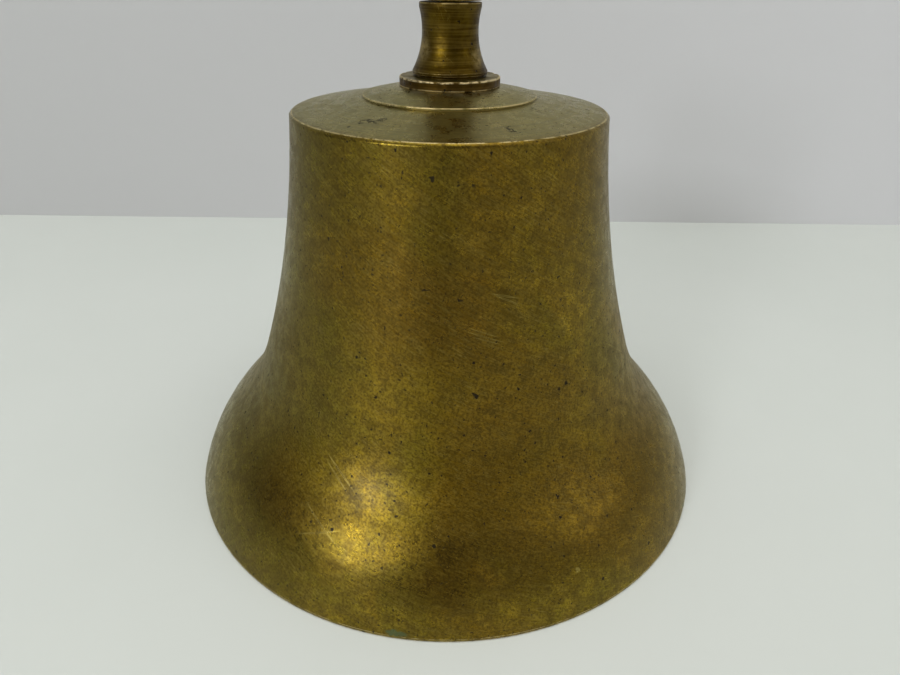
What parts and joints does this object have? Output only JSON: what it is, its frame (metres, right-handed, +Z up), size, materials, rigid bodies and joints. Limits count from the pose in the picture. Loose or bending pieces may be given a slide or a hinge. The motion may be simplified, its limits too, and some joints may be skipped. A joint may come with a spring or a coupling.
{
  "type": "ship bell",
  "caption": "Turned brass ship's bell with a flared mouth, necked stem, swivelling hanging eye and a clapper swinging on a clevis pin.",
  "frame": {"origin": "centre of the mouth, in the plane of the lip that the bell stands on", "axes": "+Z up the bell's axis towards the hanging eye, +Y along the eye's hole and the clapper's pin, +X to the right seen along +Y"},
  "size_m": [0.1394, 0.1394, 0.1464],
  "materials": {
    "bell_brass": "aged brass, lathe-turned, satin, brown-green patina",
    "collar_brass": "aged brass, heavily tarnished, bright nicks on the upper edge",
    "neck_brass": "aged turned brass, mottled brown patina",
    "eye_brass": "aged brass, rubbed brighter by handling",
    "fixing_brass": "plain machined brass, dulled",
    "washer_leather": "vegetable-tanned leather, oiled, dark",
    "pin_steel": "turned steel, dulled",
    "bush_bronze": "plain bronze bush",
    "ball_brass": "aged brass, struck bright at the sides"
  },
  "bodies": {
    "bell": {"bell_shell": "bell_brass", "crown_collar": "collar_brass", "neck_spool": "neck_brass", "crown_stud": "fixing_brass", "leather_washer": "washer_leather", "crown_washer": "fixing_brass", "crown_nut": "fixing_brass", "clapper_fork": "fixing_brass", "clapper_pin": "pin_steel", "pin_washer": "pin_steel", "split_pin": "pin_steel"},
    "eye": {"hanging_eye": "eye_brass", "swivel_washer": "pin_steel"},
    "clapper": {"clapper_rod": "fixing_brass", "clapper_bush": "bush_bronze", "clapper_ball": "ball_brass", "clapper_tail": "fixing_brass"}
  },
  "joints": [
    {"name": "clapper_swing", "type": "hinge", "parent": "bell", "child": "clapper", "pos_m": [0, 0, 0.07], "axis": [0, -1, 0], "range_deg": [-42.5, 42.5]},
    {"name": "eye_swivel", "type": "hinge", "parent": "bell", "child": "eye", "pos_m": [0, 0, 0.115], "axis": [0, 0, 1], "continuous": true}
  ]
}
